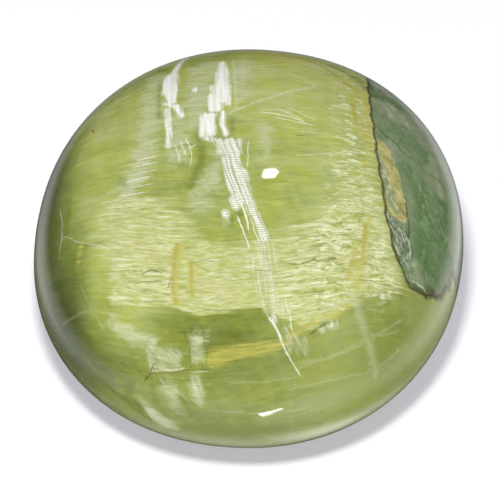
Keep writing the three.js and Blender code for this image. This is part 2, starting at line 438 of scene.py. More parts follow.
def profile(form):
    """Radius share, height and length along the curve from the crown down to the middle of the base."""
    angle = np.linspace(math.pi / 2, 0, DOME_PLACES)
    rise = form.height - form.girdle_height
    dome_share = np.cos(angle) ** (2 / form.dome_fullness)
    dome_share[0] = 0
    dome_height = form.girdle_height + rise * np.sin(angle) ** (2 / form.dome_fullness)

    mean_radius = (form.width + form.length) / 4
    ease = form.eased_edge / mean_radius
    depth = form.girdle_height / math.sqrt(1 - form.base_share ** 2)
    angle = np.linspace(0, math.acos(form.base_share + ease), FLANK_PLACES)[1:]
    flank_share = np.cos(angle)
    flank_height = form.girdle_height - depth * np.sin(angle)

    # the eased edge bends towards the corner where flank and base would meet
    turn = np.linspace(0, 1, EASE_PLACES)[1:]
    bend = 2 * turn * (1 - turn)
    end_share = form.base_share - ease
    ease_share = (1 - turn) ** 2 * flank_share[-1] + bend * form.base_share + turn ** 2 * end_share
    ease_height = (1 - turn) ** 2 * flank_height[-1]

    base_share = np.linspace(end_share, 0, BASE_PLACES)[1:]
    share = np.concatenate([dome_share, flank_share, ease_share, base_share])
    height = np.concatenate([dome_height, flank_height, ease_height, np.zeros(len(base_share))])
    along = np.append(0, np.cumsum(np.hypot(np.diff(share) * mean_radius, np.diff(height))))
    return share, height, along


def plan_radius(form, angle):
    """The stone's radius in plan in the direction of an angle from +X."""
    across = np.abs(np.cos(angle) / (form.width / 2)) ** form.plan_fullness
    along = np.abs(np.sin(angle) / (form.length / 2)) ** form.plan_fullness
    return (across + along) ** (-1 / form.plan_fullness)


FAR = 9.0  # mm, further than any marking reaches
LINE_WHOLE, LINE_GONE = 0.08, 0.16  # mm beside a line, where its strength starts to fade and where it's gone


def smooth_step(low, high, value):
    """A level that eases from 0 at the low value to 1 at the high one."""
    share = np.clip((value - low) / (high - low), 0, 1)
    return share * share * (3 - 2 * share)


def along_segment(start, end, x, y):
    """How far along a segment its nearest place lies, as a share, and how far off that place is."""
    (ax, ay), (bx, by) = start, end
    share = np.clip(((x - ax) * (bx - ax) + (y - ay) * (by - ay)) / math.dist(start, end) ** 2, 0, 1)
    return share, np.hypot(x - ax - share * (bx - ax), y - ay - share * (by - ay))


def inside_strokes(strokes, x, y):
    """Millimetres inside the nearest stroke, negative outside all of them."""
    inside = np.full(len(x), -FAR)
    for start_half, end_half, places in strokes:
        spans = [math.dist(start, end) for start, end in zip(places, places[1:])]
        done = 0.0
        for start, end, span in zip(places, places[1:], spans):
            share, distance = along_segment(start, end, x, y)
            half = start_half + (end_half - start_half) * (done + share * span) / sum(spans)
            inside = np.maximum(inside, half - distance)
            done += span
    return inside


def beside_lines(lines, x, y):
    """How far to one side of the nearest line, in its half widths, and how strong that line is.

    The first changes sign across the line, so that a line thinner than a facet stays whole.
    """
    nearest = np.full(len(x), FAR)
    beside = np.full(len(x), FAR)
    strength = np.zeros(len(x))
    for half_width, line_strength, places in lines:
        for (ax, ay), (bx, by) in zip(places, places[1:]):
            distance = along_segment((ax, ay), (bx, by), x, y)[1]
            side = np.sign((bx - ax) * (y - ay) - (by - ay) * (x - ax))
            closer = distance - half_width < nearest
            nearest = np.where(closer, distance - half_width, nearest)
            beside = np.where(closer, side * distance / half_width, beside)
            strength = np.where(closer, line_strength, strength)
    return beside, strength * smooth_step(LINE_GONE, LINE_WHOLE, nearest)


def inside_outline(outline, x, y):
    """Millimetres inside a closed outline, negative outside it."""
    distance = -inside_strokes([(0.0, 0.0, outline + outline[:1])], x, y)
    # a place is inside if a line from it crosses the outline an odd number of times
    odd = np.zeros(len(x), bool)
    for (ax, ay), (bx, by) in zip(outline, outline[1:] + outline[:1]):
        if ay == by:
            continue
        odd ^= ((ay > y) != (by > y)) & (x < ax + (y - ay) * (bx - ax) / (by - ay))
    return np.where(odd, distance, -distance)


def follow(path, y):
    """The x of a path at each y."""
    places = sorted((place[1], place[0]) for place in path)
    return np.interp(y, [place[0] for place in places], [place[1] for place in places])


# The waves that keep a stroke from looking ruled: radians per mm one way and the other, and their share
WAVES = ((9.0, 3.0, 1.0), (23.0, 11.0, 0.5))


def wander(x, y, reach):
    """Bends a chart a little, by up to the reach."""
    for one_way, other_way, share in WAVES:
        push = reach * share * np.sin(one_way * y + other_way * x)
        pull = reach * share * np.sin(one_way * x - other_way * y)
        x, y = x + push, y + pull
    return x, y


# The line that the white strands follow down the dome, on the chart
STRAND_PATH = (
    (-1.75, 5.0), (-1.45, 3.0), (-1.2, 1.2), (-1.0, 0.3), (-0.75, -0.3), (-0.1, -1.7), (0.55, -3.0),
    (0.9, -4.4), (1.1, -5.0), (2.4, -6.5), (3.2, -8.5),
)
# The fibres run across the stone, rising to the right, and rise more steeply to the right and lower down
FIBRE_SLOPE = 0.15
FIBRE_BEND, FIBRE_BEND_LOW = 0.045, 0.017
FIBRE_REACH = 5.0  # past here they run straight on
FIBRE_LEVEL = 2.0  # the highest place on the chart where they still straighten
CHART_WANDER, ROCK_WANDER = 0.010, 0.020  # mm that the waves bend the markings by
CREAM_STRETCH = 3.0  # the cream zone's ends are this much softer than its sides
CREAM_TOP, CREAM_FOOT = -3.2, -4.4  # between these its side softens upwards, up to CREAM_HAZE times
CREAM_HAZE = 2.5
ROCK_TAPER = 2.5  # mm that the host rock draws in from the girdle down to the base
TAPER_SWING, TAPER_WAVE = 0.15, 1.7  # it does so unevenly: the share, and radians per mm
FOOT_SHADE_LEVEL, FOOT_SHADE_REACH = 0.9, 0.6  # mm up and down, where painted shade darkens the body round the stone's foot, in place of the shadow near the floor
FOOT_SHADE_DEPTH = 0.36  # how much darker that painted shade makes the tone there
LEAST_FIBRES = 0.1  # the share of the fibres that shows where they lie deepest
HATCH_FROM, HATCH_TO = 0.9, 0.4  # where crossing fibres start to show in the silk


def fibre_level(x, y):
    """Which fibre a place lies on: the y at which that fibre crosses x = 0."""
    reach = FIBRE_REACH * np.tanh(x / FIBRE_REACH)
    bend = FIBRE_BEND - FIBRE_BEND_LOW * np.clip(y, -FIBRE_REACH - FIBRE_LEVEL, FIBRE_LEVEL)
    return y - FIBRE_SLOPE * reach - bend * reach ** 2 / 2


def cloudy(level, clouds, x, y):
    """A level that drifts by soft clouds, each given as its middle, its reach each way and its change."""
    drifting = np.full(len(x), level)
    for (cx, cy), reach_x, reach_y, change in clouds:
        drifting += change * np.exp(-((x - cx) / reach_x) ** 2 - ((y - cy) / reach_y) ** 2)
    return drifting


def opal_fields(chart_x, chart_y, height):
    """What the opal shows at each place: its tone, and mostly how far inside its markings the place lies."""
    # the tone carries a painted shade round the foot of the stone
    foot_shade = np.exp(-((height - FOOT_SHADE_LEVEL) / FOOT_SHADE_REACH) ** 2)
    squeezed = tuple((x / CREAM_STRETCH, y) for x, y in CREAM_OUTLINE)
    haze = 1 + (CREAM_HAZE - 1) * smooth_step(CREAM_FOOT, CREAM_TOP, chart_y)
    x, y = wander(chart_x, chart_y, CHART_WANDER)
    fields = {
        "tone": cloudy(BODY_TONE, TONE_CLOUDS, chart_x, chart_y) - FOOT_SHADE_DEPTH * foot_shade,
        "milky": cloudy(0.0, MILK_CLOUDS, chart_x, chart_y),
        "fibrous": np.maximum(LEAST_FIBRES, 1 - cloudy(0.0, CALM_CLOUDS, chart_x, chart_y)),
        "strand": chart_x - follow(STRAND_PATH, chart_y),
        "hatch": smooth_step(HATCH_FROM, HATCH_TO, chart_y),
        "cream": inside_outline(squeezed, chart_x / CREAM_STRETCH, chart_y) / haze,
        "reflection_wedge": inside_outline(REFLECTION_WEDGE_OUTLINE, x, y),
    }
    for name, strokes in (("silk", SILK_AND_SHEEN), ("gauze", GAUZE_AND_SHEEN), ("veil", VEIL), ("chalk", CHALK),
                          ("yellow", YELLOW), ("orange", ORANGE), ("blush", BLUSH), ("deep", DEEP),
                          ("crinkle", CRINKLE)):
        fields[name] = inside_strokes(strokes, x, y)
    for name, lines in (("threads", THREADS), ("films", FILMS), ("lines", LINES), ("tan", TAN)):
        fields[name], fields[name + "_strength"] = beside_lines(lines, x, y)
    return fields


def rock_fields(form, plan_x, plan_y, height):
    """How far inside the host rock and its markings each place lies. They draw in below the girdle."""
    girdle = form.girdle_height / MM
    radius_share = np.hypot(plan_x, plan_y) * MM / plan_radius(form, np.arctan2(plan_y, plan_x))
    outward = np.where(height < girdle, 1 / np.maximum(radius_share, form.base_share), 1)
    x, y = wander(plan_x * outward, plan_y * outward, ROCK_WANDER)
    buried = smooth_step(girdle, 0, height)
    uneven = 1 + TAPER_SWING * np.sin(TAPER_WAVE * plan_y)
    fields = {
        "rock": inside_outline(ROCK_OUTLINE, x, y) - ROCK_TAPER * buried * uneven,
        "lens": inside_outline(LENS_OUTLINE, x, y) - buried,
        "lens_heart": inside_strokes(LENS_HEART, x, y) - buried,
        "strip": inside_outline(STRIP_OUTLINE, x, y) - buried,
    }
    for name, strokes in (("dark_rock", DARK_ROCK), ("emerald", EMERALD), ("pale_rock", PALE_ROCK),
                          ("rust_rock", RUST_ROCK)):
        fields[name] = inside_strokes(strokes, x, y)
    for name, lines in (("cracks", CRACKS), ("crystals", CRYSTALS)):
        fields[name], fields[name + "_strength"] = beside_lines(lines, x, y)
    return fields


def write_marks(mesh, form, chart_x, chart_y, under):
    """Stores on the mesh what each vertex shows, and where it lies in the grain."""
    place = np.empty(len(mesh.vertices) * 3)
    mesh.vertices.foreach_get("co", place)
    plan_x, plan_y, height = place.reshape(-1, 3).T / MM

    # along the fibres, across them and down, which under the stone follow the plan and not the chart
    along = chart_x + (plan_x - chart_x) * under
    across = fibre_level(chart_x, chart_y)
    across = across + (fibre_level(plan_x, plan_y) - across) * under
    down = np.minimum(0, height - form.girdle_height / MM)
    grain = np.stack([along, across, down], 1)
    mesh.attributes.new("grain", "FLOAT_VECTOR", "POINT").data.foreach_set("vector", grain.ravel())

    fields = {**opal_fields(chart_x, chart_y, height), **rock_fields(form, plan_x, plan_y, height)}
    for name, field in fields.items():
        mesh.attributes.new(name, "FLOAT", "POINT").data.foreach_set("value", field)


CROWD = 1.4  # how strongly the facets gather on the dome, where 1 spreads them evenly
UNDER_FROM, UNDER_TO = 8.5, 11.0  # mm from the crown, where the grain turns from the chart to the plan


def shape_stone(form):
    """A cube of fine facets, drawn out to the domed oval form."""
    builder = bmesh.new()
    bmesh.ops.create_cube(builder, size=2)
    bmesh.ops.subdivide_edges(builder, edges=builder.edges[:], cuts=form.facets - 1, use_grid_fill=True)
    mesh = bpy.data.meshes.new("opal_stone")
    builder.to_mesh(mesh)
    builder.free()

    place = np.empty(len(mesh.vertices) * 3)
    mesh.vertices.foreach_get("co", place)
    ball = np.tan(np.clip(place, -1, 1) * math.pi / 4).reshape(-1, 3)
    ball /= np.linalg.norm(ball, axis=1)[:, None]
    angle = np.arctan2(ball[:, 1], ball[:, 0])
    share, height, along = profile(form)
    travel = along[-1] * (np.arccos(np.clip(ball[:, 2], -1, 1)) / math.pi) ** CROWD
    radius = np.interp(travel, along, share) * plan_radius(form, angle)
    place = np.stack([radius * np.cos(angle), radius * np.sin(angle), np.interp(travel, along, height)], 1)
    mesh.vertices.foreach_set("co", place.ravel())
    mesh.polygons.foreach_set("use_smooth", np.ones(len(mesh.polygons), bool))
    mesh.update()

    travel = travel / MM
    under = smooth_step(UNDER_FROM, UNDER_TO, travel)
    write_marks(mesh, form, travel * np.cos(angle), travel * np.sin(angle), under)
    return mesh


def add_node(tree, kind, settings=None, inputs=None):
    """Adds a node. An input is given a value, a socket, or a node whose first live output feeds it."""
    node = tree.nodes.new(kind)
    for name, value in (settings or {}).items():
        setattr(node, name, value)
    live = [socket for socket in node.inputs if socket.enabled]
    for key, value in (inputs or {}).items():
        socket = live[key] if isinstance(key, int) else next(one for one in live if one.name == key)
        if isinstance(value, bpy.types.Node):
            value = next(one for one in value.outputs if one.enabled)
        if isinstance(value, bpy.types.NodeSocket):
            tree.links.new(value, socket)
        else:
            socket.default_value = value
    return node


# Noise patterns: (coordinates, scale per mm along, across and down, detail, roughness, distortion, the noise
# values that become 0 and 1). A scale is 1 over a size in mm, as seen on the stone: silk strands 0.08 to 0.1
# across, crinkled fibres 0.08 across and 0.4 to 1 long, crystals 0.1, flecks of the host rock 0.2, its
# mottling 0.4 and its clouds 1 to 2. The opal's own fibres are a few hundredths of a mm across or less.
# That is too fine to show, so they are drawn as coarse as they need to be: 1/15 mm.
PATTERNS = {
    "broad": ("grain", (0.25, 1.8, 1.8), 3, 0.6, 0.5, 0.36, 0.64),
    "patch": ("grain", (1.3, 2.8, 2.8), 4, 0.62, 0.8, 0.36, 0.64),
    "hair": ("grain", (0.8, 15.0, 15.0), 3, 0.7, 0.2, 0.36, 0.66),
    "streak": ("crinkled", (2.8, 13.0, 13.0), 3, 0.7, 0.3, 0.40, 0.60),
    "thread": ("crinkled", (0.8, 11.0, 11.0), 3, 0.6, 0.3, 0.53, 0.68),
    "parting": ("crinkled", (1.3, 11.0, 11.0), 4, 0.7, 0.4, 0.54, 0.70),
    "pocket": ("crinkled", (1.8, 5.5, 5.5), 3, 0.6, 0.5, 0.48, 0.60),
    "speck": ("crinkled", (2.0, 6.5, 6.5), 3, 0.66, 0.8, 0.50, 0.62),
    "feather": ("grain", (0.2, 5.0, 5.0), 3, 0.7, 0.0, 0.30, 0.70),
    "band": ("strands", (2.4, 0.3, 0.3), 3, 0.6, 0.3, 0.36, 0.66),
    "strand": ("strands", (10.0, 0.7, 0.7), 3, 0.6, 0.2, 0.36, 0.58),
    "gap": ("strands", (13.0, 0.5, 0.5), 3, 0.6, 0.2, 0.53, 0.61),
    "cloud": ("stone", (0.45, 0.45, 0.45), 3, 0.55, 0.5, 0.34, 0.66),
    "hue": ("stone", (0.8, 1.1, 1.1), 4, 0.6, 0.8, 0.38, 0.62),
    "ragged": ("stone", (7.0, 7.0, 7.0), 3, 0.6, 0.5, 0.30, 0.70),
    "marble": ("bedding", (0.8, 0.40, 0.6), 5, 0.6, 1.2, 0.36, 0.64),
    "vein": ("bedding", (2.6, 0.6, 1.0), 4, 0.6, 1.0, 0.50, 0.68),
    "mottle": ("stone", (2.6, 1.8, 1.8), 5, 0.65, 1.0, 0.36, 0.64),
    "fleck": ("bedding", (6.0, 3.5, 4.0), 3, 0.65, 0.8, 0.50, 0.66),
    "crystal": ("bedding", (11.0, 6.0, 6.0), 3, 0.7, 0.8, 0.48, 0.62),
}
# Noise pushes the fibres sideways by the first of these in mm, and beside the seam by the second
CRINKLE_LOW, CRINKLE_HIGH = 0.03, 0.30
CRINKLE_FROM, CRINKLE_TO = -0.5, 0.5  # mm inside the crinkled band, over which that push grows
CRINKLE_SCALE = (1.5, 3.2, 3.2)  # of that noise, per mm
POCKETS_FROM, POCKETS_TO = -1.0, 0.2  # mm inside the crinkled band, over which limy pockets open
BEDDING_LEAN = 0.5  # how far the host rock's layers lean across, per mm along
HATCH_SPACING = 0.078  # mm between the fibres that cross the silk
HATCH_WOBBLE = 6.0  # radians that noise moves them
HATCH_LOW, HATCH_HIGH = -0.2, 0.9  # levels of a sine wave, where such a fibre starts to show and is whole


def read_field(tree, name):
    """The value that the mesh holds at each place."""
    return add_node(tree, "ShaderNodeAttribute", {"attribute_name": name}).outputs["Fac"]


def grain_patterns(tree):
    """The stone's patterns, each from 0 to 1."""
    grain = add_node(tree, "ShaderNodeAttribute", {"attribute_name": "grain"}).outputs["Vector"]
    metres = add_node(tree, "ShaderNodeTexCoord").outputs["Object"]
    stone = add_node(tree, "ShaderNodeVectorMath", {"operation": "SCALE"}, {0: metres, 1: 1 / MM})
    split_grain = add_node(tree, "ShaderNodeSeparateXYZ", {}, {0: grain})
    split_stone = add_node(tree, "ShaderNodeSeparateXYZ", {}, {0: stone})

    # beside the seam the fibres are crinkled: noise pushes them sideways there
    crinkle = add_node(tree, "ShaderNodeMapRange", {"interpolation_type": "SMOOTHSTEP"},
                       {"Value": read_field(tree, "crinkle"), "From Min": CRINKLE_FROM,
                        "From Max": CRINKLE_TO, "To Min": CRINKLE_LOW, "To Max": CRINKLE_HIGH})
    warp_place = add_node(tree, "ShaderNodeVectorMath", {"operation": "MULTIPLY"},
                          {0: grain, 1: CRINKLE_SCALE})
    warp = add_node(tree, "ShaderNodeTexNoise", {}, {"Vector": warp_place, "Scale": 1.0, "Detail": 2.0})
    centred = add_node(tree, "ShaderNodeVectorMath", {"operation": "SUBTRACT"},
                       {0: warp.outputs["Color"], 1: (0.5, 0.5, 0.5)})
    push = add_node(tree, "ShaderNodeVectorMath", {"operation": "SCALE"}, {0: centred, 1: crinkle})
    crinkled = add_node(tree, "ShaderNodeVectorMath", {"operation": "ADD"}, {0: grain, 1: push})

    # across and along the white strands, and the layers of the host rock
    strands = add_node(tree, "ShaderNodeCombineXYZ", {},
                       {"X": read_field(tree, "strand"), "Y": split_grain.outputs["Y"],
                        "Z": split_grain.outputs["Z"]})
    leaning = add_node(tree, "ShaderNodeMath", {"operation": "MULTIPLY_ADD"},
                       {0: split_stone.outputs["Y"], 1: BEDDING_LEAN, 2: split_stone.outputs["X"]})
    bedding = add_node(tree, "ShaderNodeCombineXYZ", {},
                       {"X": leaning, "Y": split_stone.outputs["Y"], "Z": split_stone.outputs["Z"]})

    coordinates = {
        "grain": grain, "crinkled": crinkled, "strands": strands, "stone": stone, "bedding": bedding}
    patterns = {}
    for name, (source, scale, detail, roughness, distortion, low, high) in PATTERNS.items():
        stretched = add_node(tree, "ShaderNodeVectorMath", {"operation": "MULTIPLY"},
                             {0: coordinates[source], 1: scale})
        noise = add_node(tree, "ShaderNodeTexNoise", {},
                         {"Vector": stretched, "Scale": 1.0, "Detail": detail, "Roughness": roughness,
                          "Distortion": distortion})
        patterns[name] = add_node(tree, "ShaderNodeMapRange", {"clamp": True},
                                  {"Value": noise, "From Min": low, "From Max": high})

    # the fibres that cross the silk, evenly spaced
    wobble = add_node(tree, "ShaderNodeMath", {"operation": "MULTIPLY"},
                      {0: patterns["hue"], 1: HATCH_WOBBLE})
    turned = add_node(tree, "ShaderNodeMath", {"operation": "MULTIPLY_ADD"},
                      {0: split_grain.outputs["Y"], 1: 2 * math.pi / HATCH_SPACING, 2: wobble})
    wave = add_node(tree, "ShaderNodeMath", {"operation": "SINE"}, {0: turned})
    crossing = add_node(tree, "ShaderNodeMapRange", {},
                        {"Value": wave, "From Min": HATCH_LOW, "From Max": HATCH_HIGH})

    # they and the gaps between strands show only down the silk, and pockets open only near the seam
    down_silk = read_field(tree, "hatch")
    near_seam = add_node(tree, "ShaderNodeMapRange", {},
                         {"Value": read_field(tree, "crinkle"), "From Min": POCKETS_FROM,
                          "From Max": POCKETS_TO})
    for name, pattern, where in (("weft", crossing, down_silk), ("gap", patterns["gap"], down_silk),
                                 ("pocket", patterns["pocket"], near_seam)):
        patterns[name] = add_node(tree, "ShaderNodeMath", {"operation": "MULTIPLY"}, {0: pattern, 1: where})
    return patterns


# Colours, with what each is the colour of
COLOURS = {
    "body_0": ("#3f4a26", "body of the opal at its deepest"),
    "body_1": ("#68723c", "body of the opal, deep"),
    "body_2": ("#848f4a", "body of the opal, between deep and pale"),
    "body_3": ("#98a35e", "body of the opal"),
    "body_4": ("#b1b971", "body of the opal, pale"),
    "body_5": ("#c5cb8c", "body of the opal at its palest"),
    "lime": ("#fdfbcc", "tint of the limy patches"),
    "veil": ("#b9bf94", "veils"),
    "veil_pale": ("#d2d6b8", "veils at their palest"),
    "olive": ("#76842f", "deep olive places"),
    "olive_deep": ("#5f6d28", "deep olive places at their deepest"),
    "cream": ("#b0b666", "cream zone"),
    "cream_pale": ("#dadcb0", "cream zone at its palest"),
    "cream_lime": ("#a2ac4e", "limy pockets in the cream zone"),
    "cream_brown": ("#86854a", "partings in the cream zone"),
    "blush": ("#c3b283", "brownish blush in the cream zone"),
    "fleck": ("#efeed2", "crinkled flecks"),
    "yellow": ("#c4c164", "yellow stain"),
    "yellow_deep": ("#a8a148", "yellow stain at its deepest"),
    "orange": ("#ab9846", "orange stain"),
    # much of the silk's white is a painted sheen
    "silk": ("#fdfdf9", "white silk"),
    "silk_shade": ("#dfe3c8", "white silk between its strands"),
    "hatch": ("#a8af7e", "fibres that cross the silk"),
    "line": ("#4c4a24", "dark lines"),
    "tan": ("#c4b08a", "tan thread"),
    "slate": ("#4c5344", "dark rims of the host rock"),
    "rock_dark": ("#52663f", "host rock at its darkest"),
    "rock": ("#70875e", "host rock"),
    "rock_pale": ("#90997a", "host rock at its palest"),
    "emerald": ("#4a6d36", "emerald patches of the host rock"),
    "emerald_pale": ("#749a62", "emerald patches at their palest"),
    "rust": ("#9f9468", "rusty patches of the host rock"),
    "ochre": ("#c8c080", "yellow lens in the host rock"),
    "ochre_deep": ("#a39a58", "yellow lens at its deepest"),
    "crystal": ("#c9cbb0", "crystals in the host rock"),
    "seam": ("#4a4026", "seam between opal and host rock"),
}

# How much each pattern moves the body's tone
BODY_GRAIN = (
    ("broad", 0.10), ("patch", 0.10), ("hair", 0.08), ("cloud", 0.06), ("band", 0.06), ("thread", 0.10),
    ("parting", -0.10),
)
# The body's shades, at their tones
BODY_SHADES = (
    (0.0, "body_0"), (0.25, "body_1"), (0.45, "body_2"), (0.62, "body_3"), (0.80, "body_4"), (1.0, "body_5"))

# Layers over the body, from the lowest up: (field, edge from, edge to in mm, pattern that frays the edge,
# fray in mm, pattern between the two colours, the colours, opacity, patterns that thin it and how much)
OPAL_LAYERS = (
    ("veil", -0.22, 0.20, "patch", 0.25, "hair", ("veil", "veil_pale"), 0.75, (("patch", 0.5),)),
    ("deep", -0.12, 0.12, "hair", 0.10, "hair", ("olive", "olive_deep"), 0.75, (("streak", 0.4),)),
    ("cream", -0.05, 0.05, "feather", 0.14, "streak", ("cream", "cream_pale"), 0.92, (("broad", 0.25),)),
    ("blush", -0.30, 0.15, "patch", 0.30, "hair", ("blush", "cream_pale"), 0.60,
     (("streak", 0.5), ("patch", 0.5))),
    ("cream", -0.05, 0.06, "feather", 0.14, "hair", ("cream_lime", "cream"), 0.60,
     (("broad", 0.5), ("patch", 0.8))),
    ("cream", 0.00, 0.08, "feather", 0.14, "hair", ("cream_lime", "olive"), 0.90, (("pocket", 1.0),)),
    ("cream", -0.03, 0.06, "feather", 0.14, "hair", ("fleck", "cream_pale"), 0.70, (("thread", 1.0),)),
    ("cream", 0.00, 0.08, "feather", 0.14, "hair", ("cream_brown", "olive"), 0.70, (("parting", 1.0),)),
    ("crinkle", -0.45, 0.35, "patch", 0.25, "streak", ("cream_pale", "fleck"), 0.72, (("speck", 1.0),)),
    ("yellow", -0.12, 0.07, "hair", 0.14, "hair", ("yellow_deep", "yellow"), 0.85, (("streak", 0.45),)),
    ("orange", -0.06, 0.04, "hair", 0.08, "hair", ("orange", "yellow_deep"), 0.85, (("streak", 0.4),)),
    # a painted reflection: the floor mirrored in a shallow hollow low at the left
    ("reflection_wedge", -0.15, 0.18, "patch", 0.10, "patch", ("veil", "veil_pale"), 0.75, ()),
    # the gauze and the silk: the fibres' own pale colour with their cat's-eye sheen painted in
    ("gauze", -0.09, 0.08, "strand", 0.10, "strand", ("silk_shade", "silk"), 0.32, (("strand", 0.5),)),
    ("gauze", -0.06, 0.03, "strand", 0.10, "hair", ("olive", "hatch"), 0.50, (("gap", 1.0),)),
    ("gauze", -0.06, 0.03, "strand", 0.10, "hair", ("hatch", "cream_lime"), 0.50, (("weft", 1.0),)),
    ("silk", -0.07, 0.06, "strand", 0.05, "patch", ("silk", "silk"), 0.97, (("strand", 0.30),)),
    ("silk", -0.05, 0.04, "strand", 0.05, "hair", ("olive", "hatch"), 0.75, (("gap", 1.0),)),
    ("silk", -0.05, 0.04, "strand", 0.05, "hair", ("hatch", "hatch"), 0.95,
     (("weft", 1.0), ("patch", 0.45))),
    ("chalk", -0.03, 0.03, "ragged", 0.05, "ragged", ("silk_shade", "fleck"), 0.90, ()),
)
# Lines over them: (field, pattern between the two colours, the colours, opacity)
OPAL_LINES = (
    ("films", "hair", ("veil_pale", "silk_shade"), 0.80),
    ("threads", "hair", ("fleck", "silk"), 0.95),
    ("tan", "hair", ("tan", "silk_shade"), 0.90),
    ("lines", "ragged", ("line", "olive_deep"), 0.85),
)

# The same over the host rock. A layer that lies everywhere has no edge
ROCK_LAYERS = (
    ("everywhere", 0, 0, "", 0, "marble", ("rock_dark", "rock"), 0.60, (("vein", 1.0),)),
    ("emerald", -0.30, 0.14, "mottle", 0.30, "fleck", ("emerald", "emerald_pale"), 0.75, (("vein", 0.3),)),
    ("everywhere", 0, 0, "", 0, "marble", ("emerald_pale", "rock_pale"), 0.50, (("fleck", 1.0),)),
    ("dark_rock", -0.12, 0.06, "mottle", 0.12, "mottle", ("slate", "rock_dark"), 0.85, (("mottle", 0.3),)),
    ("pale_rock", -0.20, 0.10, "mottle", 0.20, "vein", ("rock_pale", "crystal"), 0.80, (("mottle", 0.4),)),
    ("rust_rock", -0.14, 0.10, "mottle", 0.16, "mottle", ("rust", "rock_pale"), 0.70, (("mottle", 0.4),)),
    ("strip", -0.03, 0.04, "ragged", 0.08, "mottle", ("slate", "rock"), 0.85, ()),
    ("strip", -0.03, 0.04, "ragged", 0.08, "fleck", ("crystal", "rock_pale"), 0.55, (("crystal", 1.0),)),
    ("lens", -0.04, 0.03, "ragged", 0.08, "mottle", ("ochre_deep", "ochre"), 0.95, ()),
    ("lens", -0.04, 0.03, "ragged", 0.08, "crystal", ("slate", "ochre_deep"), 0.55, (("fleck", 1.0),)),
    ("lens_heart", -0.06, 0.05, "ragged", 0.12, "crystal", ("rock", "crystal"), 0.90, (("mottle", 0.3),)),
)
ROCK_LINES = (
    ("cracks", "ragged", ("line", "rock_dark"), 0.85),
    ("crystals", "ragged", ("crystal", "fleck"), 0.85),
)
# A line's cover falls to nothing from the first distance to the second, in its half widths
LINE_HEART, LINE_EDGE = 0.3, 1.7
LINE_WOBBLE = 0.7  # half widths that noise takes off a line
ROCK_MOTTLING = 0.4  # how strongly darker mottling covers the host rock


def paint_over(tree, colour, cover, texture, shades):
    """Covers a colour with a paint that varies between two shades."""
    paint = add_node(tree, "ShaderNodeMix", {"data_type": "RGBA"},
                     {"Factor": texture, "A": (*shades[0], 1), "B": (*shades[1], 1)})
    return add_node(tree, "ShaderNodeMix", {"data_type": "RGBA"},
                    {"Factor": cover, "A": colour, "B": paint})


def lay_over(tree, colour, layers, patterns, colours):
    """Lays marking after marking over a colour, each with a frayed edge and a grain of its own."""
    for field, low, high, fray, fray_reach, texture, shades, opacity, thinned in layers:
        cover = opacity
        if field != "everywhere":
            edge = add_node(tree, "ShaderNodeMath", {"operation": "MULTIPLY_ADD"},
                            {0: patterns[fray], 1: fray_reach, 2: read_field(tree, field)})
            middle = fray_reach / 2
            cover = add_node(tree, "ShaderNodeMapRange", {"interpolation_type": "SMOOTHSTEP"},
                             {"Value": edge, "From Min": low + middle, "From Max": high + middle,
                              "To Min": 0.0, "To Max": opacity})
        for name, share in thinned:
            left = add_node(tree, "ShaderNodeMath", {"operation": "MULTIPLY_ADD"},
                            {0: patterns[name], 1: share, 2: 1 - share})
            cover = add_node(tree, "ShaderNodeMath", {"operation": "MULTIPLY"}, {0: left, 1: cover})
        pair = [getattr(colours, shade) for shade in shades]
        colour = paint_over(tree, colour, cover, patterns[texture], pair)
    return colour


def draw_lines(tree, colour, lines, patterns, colours):
    """Draws thin lines over a colour, soft at the edge and a little uneven in width."""
    for field, texture, shades, opacity in lines:
        beside = add_node(tree, "ShaderNodeMath", {"operation": "ABSOLUTE"}, {0: read_field(tree, field)})
        uneven = add_node(tree, "ShaderNodeMath", {"operation": "MULTIPLY_ADD"},
                          {0: patterns["ragged"], 1: LINE_WOBBLE, 2: beside})
        line = add_node(tree, "ShaderNodeMapRange", {"interpolation_type": "SMOOTHSTEP"},
                        {"Value": uneven, "From Min": LINE_EDGE, "From Max": LINE_HEART,
                         "To Min": 0.0, "To Max": opacity})
        cover = add_node(tree, "ShaderNodeMath", {"operation": "MULTIPLY"},
                         {0: line, 1: read_field(tree, field + "_strength")})
        pair = [getattr(colours, shade) for shade in shades]
        colour = paint_over(tree, colour, cover, patterns[texture], pair)
    return colour


def set_stops(ramp, stops):
    """Gives a ramp its stops, each a place from 0 to 1 and a colour."""
    while len(ramp.elements) < len(stops):
        ramp.elements.new(0.5)
    for element, (place, colour) in zip(ramp.elements, stops):
        element.position = place
        element.color = (*colour, 1)


def opal_colour(tree, patterns, colours):
    """Fibrous opal: a yellow-green body whose tone drifts and follows the grain, under its markings."""
    grain = 0.0
    for name, share in BODY_GRAIN:
        centred = add_node(tree, "ShaderNodeMath", {"operation": "SUBTRACT"}, {0: patterns[name], 1: 0.5})
        grain = add_node(tree, "ShaderNodeMath", {"operation": "MULTIPLY_ADD"},
                         {0: centred, 1: share, 2: grain})
    tone = add_node(tree, "ShaderNodeMath", {"operation": "MULTIPLY_ADD"},
                    {0: grain, 1: read_field(tree, "fibrous"), 2: read_field(tree, "tone")})
    body = add_node(tree, "ShaderNodeValToRGB", {}, {0: tone})
    set_stops(body.color_ramp, [(place, getattr(colours, shade)) for place, shade in BODY_SHADES])
    tinted = add_node(tree, "ShaderNodeMix", {"data_type": "RGBA", "blend_type": "MULTIPLY"},
                      {"Factor": patterns["hue"], "A": body, "B": (*colours.lime, 1)})
    milky = add_node(tree, "ShaderNodeMix", {"data_type": "RGBA"},
                     {"Factor": read_field(tree, "milky"), "A": tinted, "B": (*colours.veil, 1)})
    marked = lay_over(tree, milky, OPAL_LAYERS, patterns, colours)
    return draw_lines(tree, marked, OPAL_LINES, patterns, colours)


